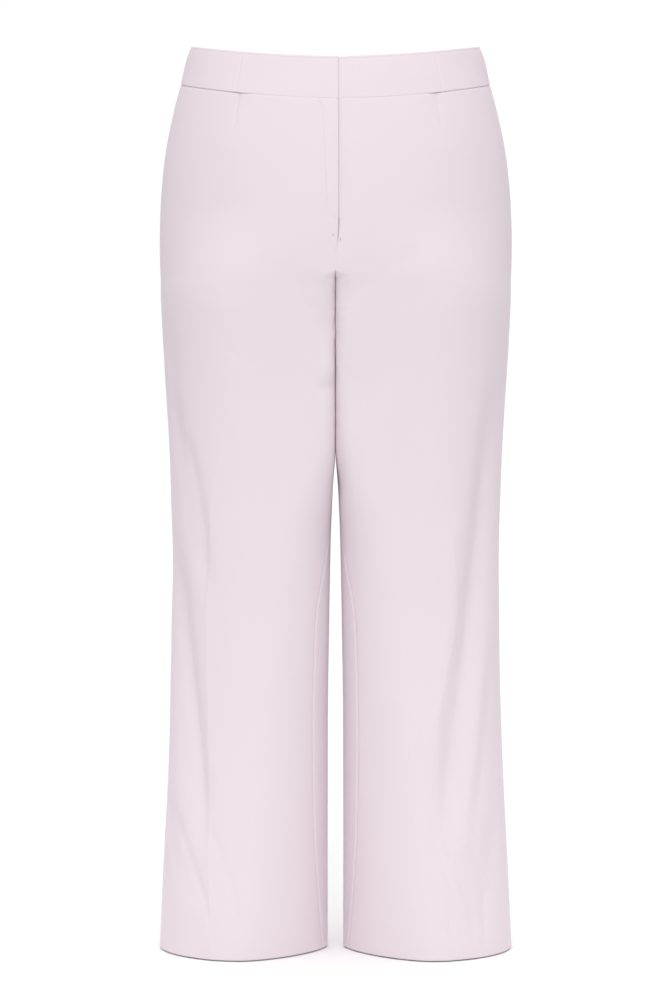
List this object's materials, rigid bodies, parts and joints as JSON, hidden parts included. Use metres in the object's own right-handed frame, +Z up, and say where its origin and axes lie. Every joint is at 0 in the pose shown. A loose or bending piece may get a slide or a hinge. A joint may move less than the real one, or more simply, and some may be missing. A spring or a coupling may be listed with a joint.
{
  "type": "polyester trousers",
  "caption": "Straight-leg trousers with a wide contoured waistband, front darts and a covered fly, filled out as worn and hollow.",
  "frame": {"origin": "middle of the waist, at the waistband's mid-height, where the wearer holds the trousers up", "axes": "+Z up, the front faces -Y, +X to the wearer's left"},
  "size_m": [0.3922, 0.2573, 1.008],
  "materials": {
    "cloth": "matte fine weave, pale pink-lilac",
    "tape": "matte zip tape and coil, toned to the cloth",
    "metal": "satin"
  },
  "bodies": {
    "trousers": {"front_left": "cloth", "front_right": "cloth", "back_left": "cloth", "back_right": "cloth", "waistband_front_left": "cloth", "waistband_front_right": "cloth", "waistband_side_left": "cloth", "waistband_side_right": "cloth", "waistband_back": "cloth", "fly_facing": "cloth", "zip_tape_left": "tape", "zip_tape_right": "tape", "zip_coil": "tape", "zip_slider": "metal"},
    "pull": {"zip_pull": "metal"}
  },
  "joints": [
    {"name": "zip_pull_swing", "type": "hinge", "parent": "trousers", "child": "pull", "pos_m": [-0.009, -0.10478, -0.05217], "axis": [-1, 0, 0], "range_deg": [0, 5]}
  ]
}
